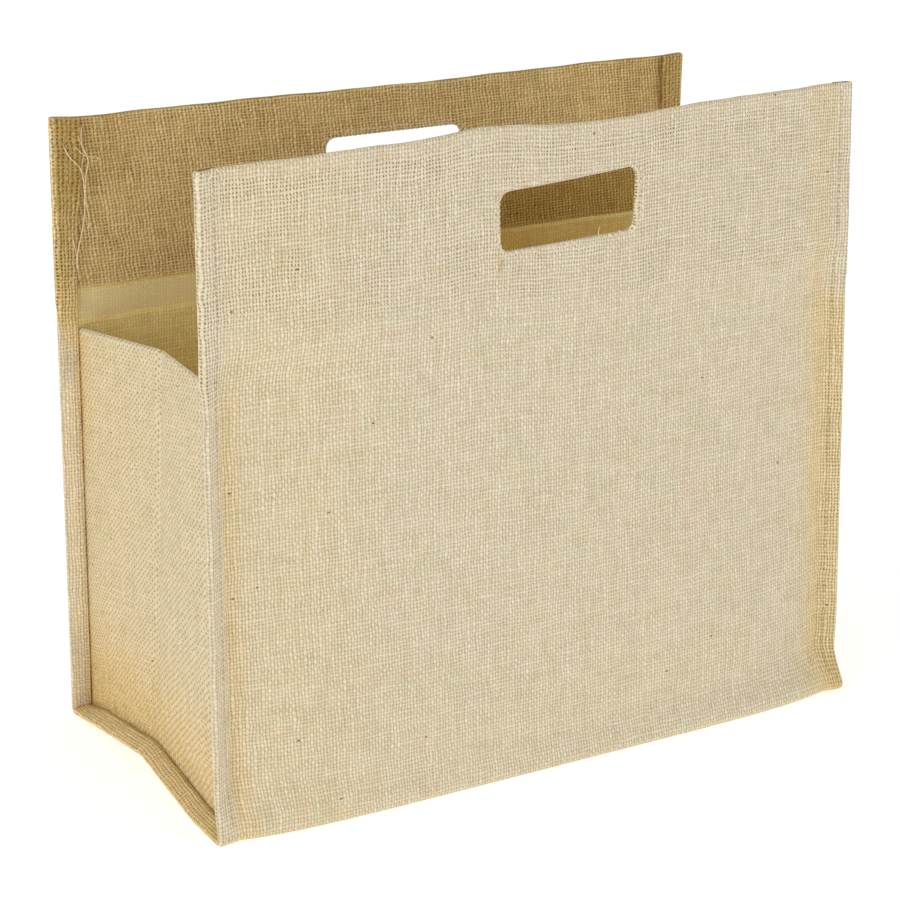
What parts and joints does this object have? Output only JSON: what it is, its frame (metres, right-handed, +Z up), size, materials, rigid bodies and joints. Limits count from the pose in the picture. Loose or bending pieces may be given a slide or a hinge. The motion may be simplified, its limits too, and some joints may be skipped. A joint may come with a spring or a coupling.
{
  "type": "laminated jute shopping bag",
  "caption": "Open-topped shopping bag of laminated jute cloth: one folded body strip, side gussets held in turned flanges, cut hand holes, deep top facings.",
  "frame": {"origin": "middle of the bounding box, on the surface that the bag stands on", "axes": "X across the bag, Y from the front panel to the back panel, Z up"},
  "size_m": [0.4203, 0.2269, 0.3725],
  "materials": {
    "body_jute": "plain weave natural jute, matt and fibrous outside, clear film on the inside",
    "gusset_jute": "plain weave natural jute, matt and fibrous outside, clear film on the inside"
  },
  "bodies": {
    "root": {"body": "body_jute", "gusset_left": "gusset_jute", "gusset_right": "gusset_jute"}
  },
  "joints": []
}
